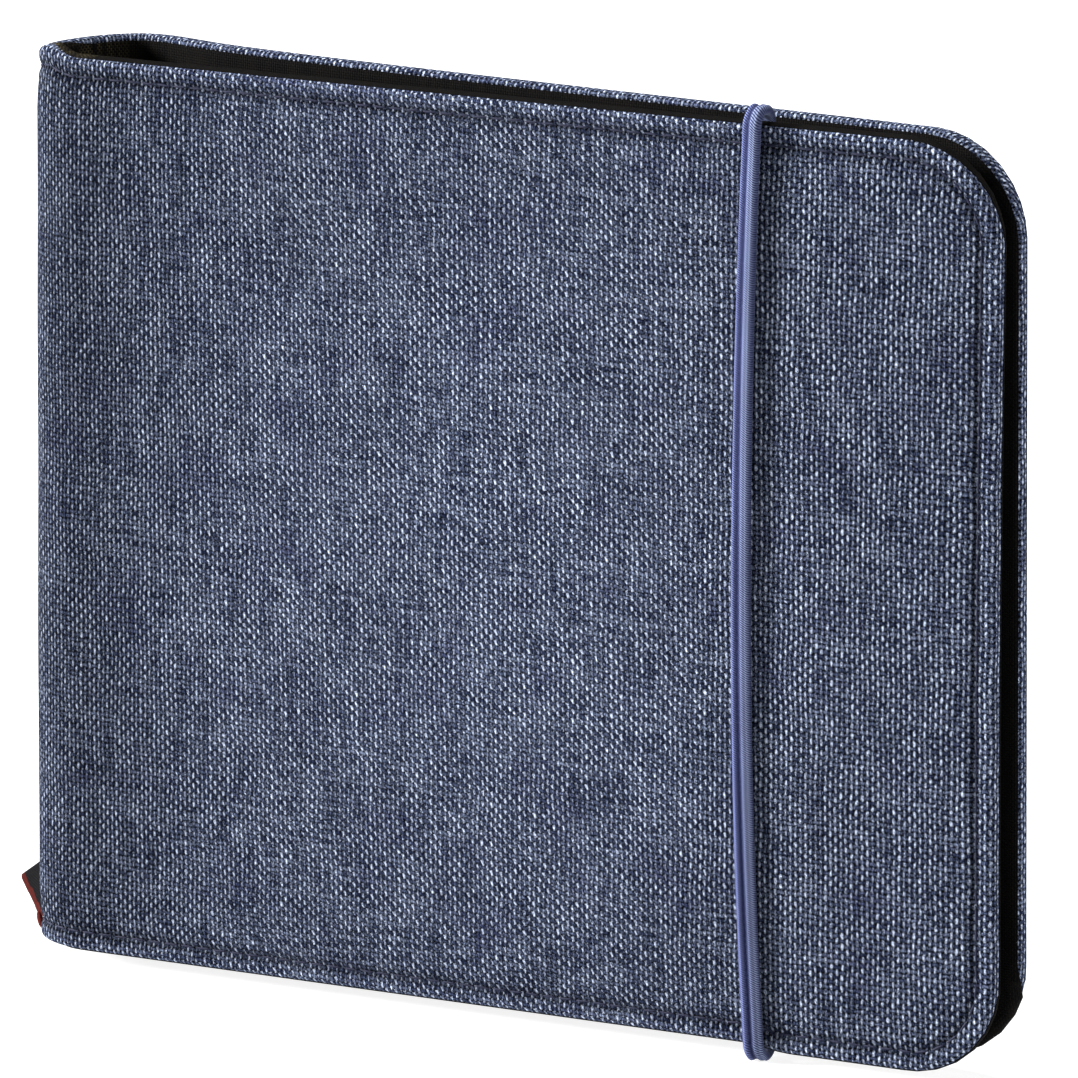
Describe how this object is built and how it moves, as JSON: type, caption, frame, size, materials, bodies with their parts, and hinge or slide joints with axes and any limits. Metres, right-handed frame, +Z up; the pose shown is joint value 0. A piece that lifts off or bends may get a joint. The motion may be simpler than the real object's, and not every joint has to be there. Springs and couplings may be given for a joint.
{
  "type": "disc storage wallet",
  "caption": "Book-style cloth wallet that holds discs in a stack of sleeves, with a padded cover, a soft spine fold and an elastic closing band.",
  "frame": {"origin": "middle of the footprint, on the surface that the bottom edges stand on", "axes": "+X from the spine to the fore-edge, +Y from the front cover to the back cover, +Z up along the spine"},
  "size_m": [0.1784, 0.027, 0.1499],
  "materials": {
    "cover_cloth": "matte",
    "stiffener": "matte",
    "padding": "matte",
    "lining": "satin",
    "sleeves": "satin",
    "binding_tape": "matte",
    "elastic": "matte",
    "ribbon": "matte"
  },
  "bodies": {
    "case": {"spine_and_back_cloth": "cover_cloth", "spine_and_back_lining": "lining", "back_board": "stiffener", "spine_padding": "padding", "disc_sleeves": "sleeves", "sleeve_binding_tape": "binding_tape", "elastic_band": "elastic", "label_ribbon": "ribbon"},
    "front_cover": {"front_cover_cloth": "cover_cloth", "front_board": "stiffener", "front_lining": "lining"}
  },
  "joints": [
    {"name": "front_cover_hinge", "type": "hinge", "parent": "case", "child": "front_cover", "pos_m": [-0.0738, -0.01185, 0.074], "axis": [0, 0, -1], "range_deg": [0, 180], "deforming": ["elastic_band"]}
  ]
}
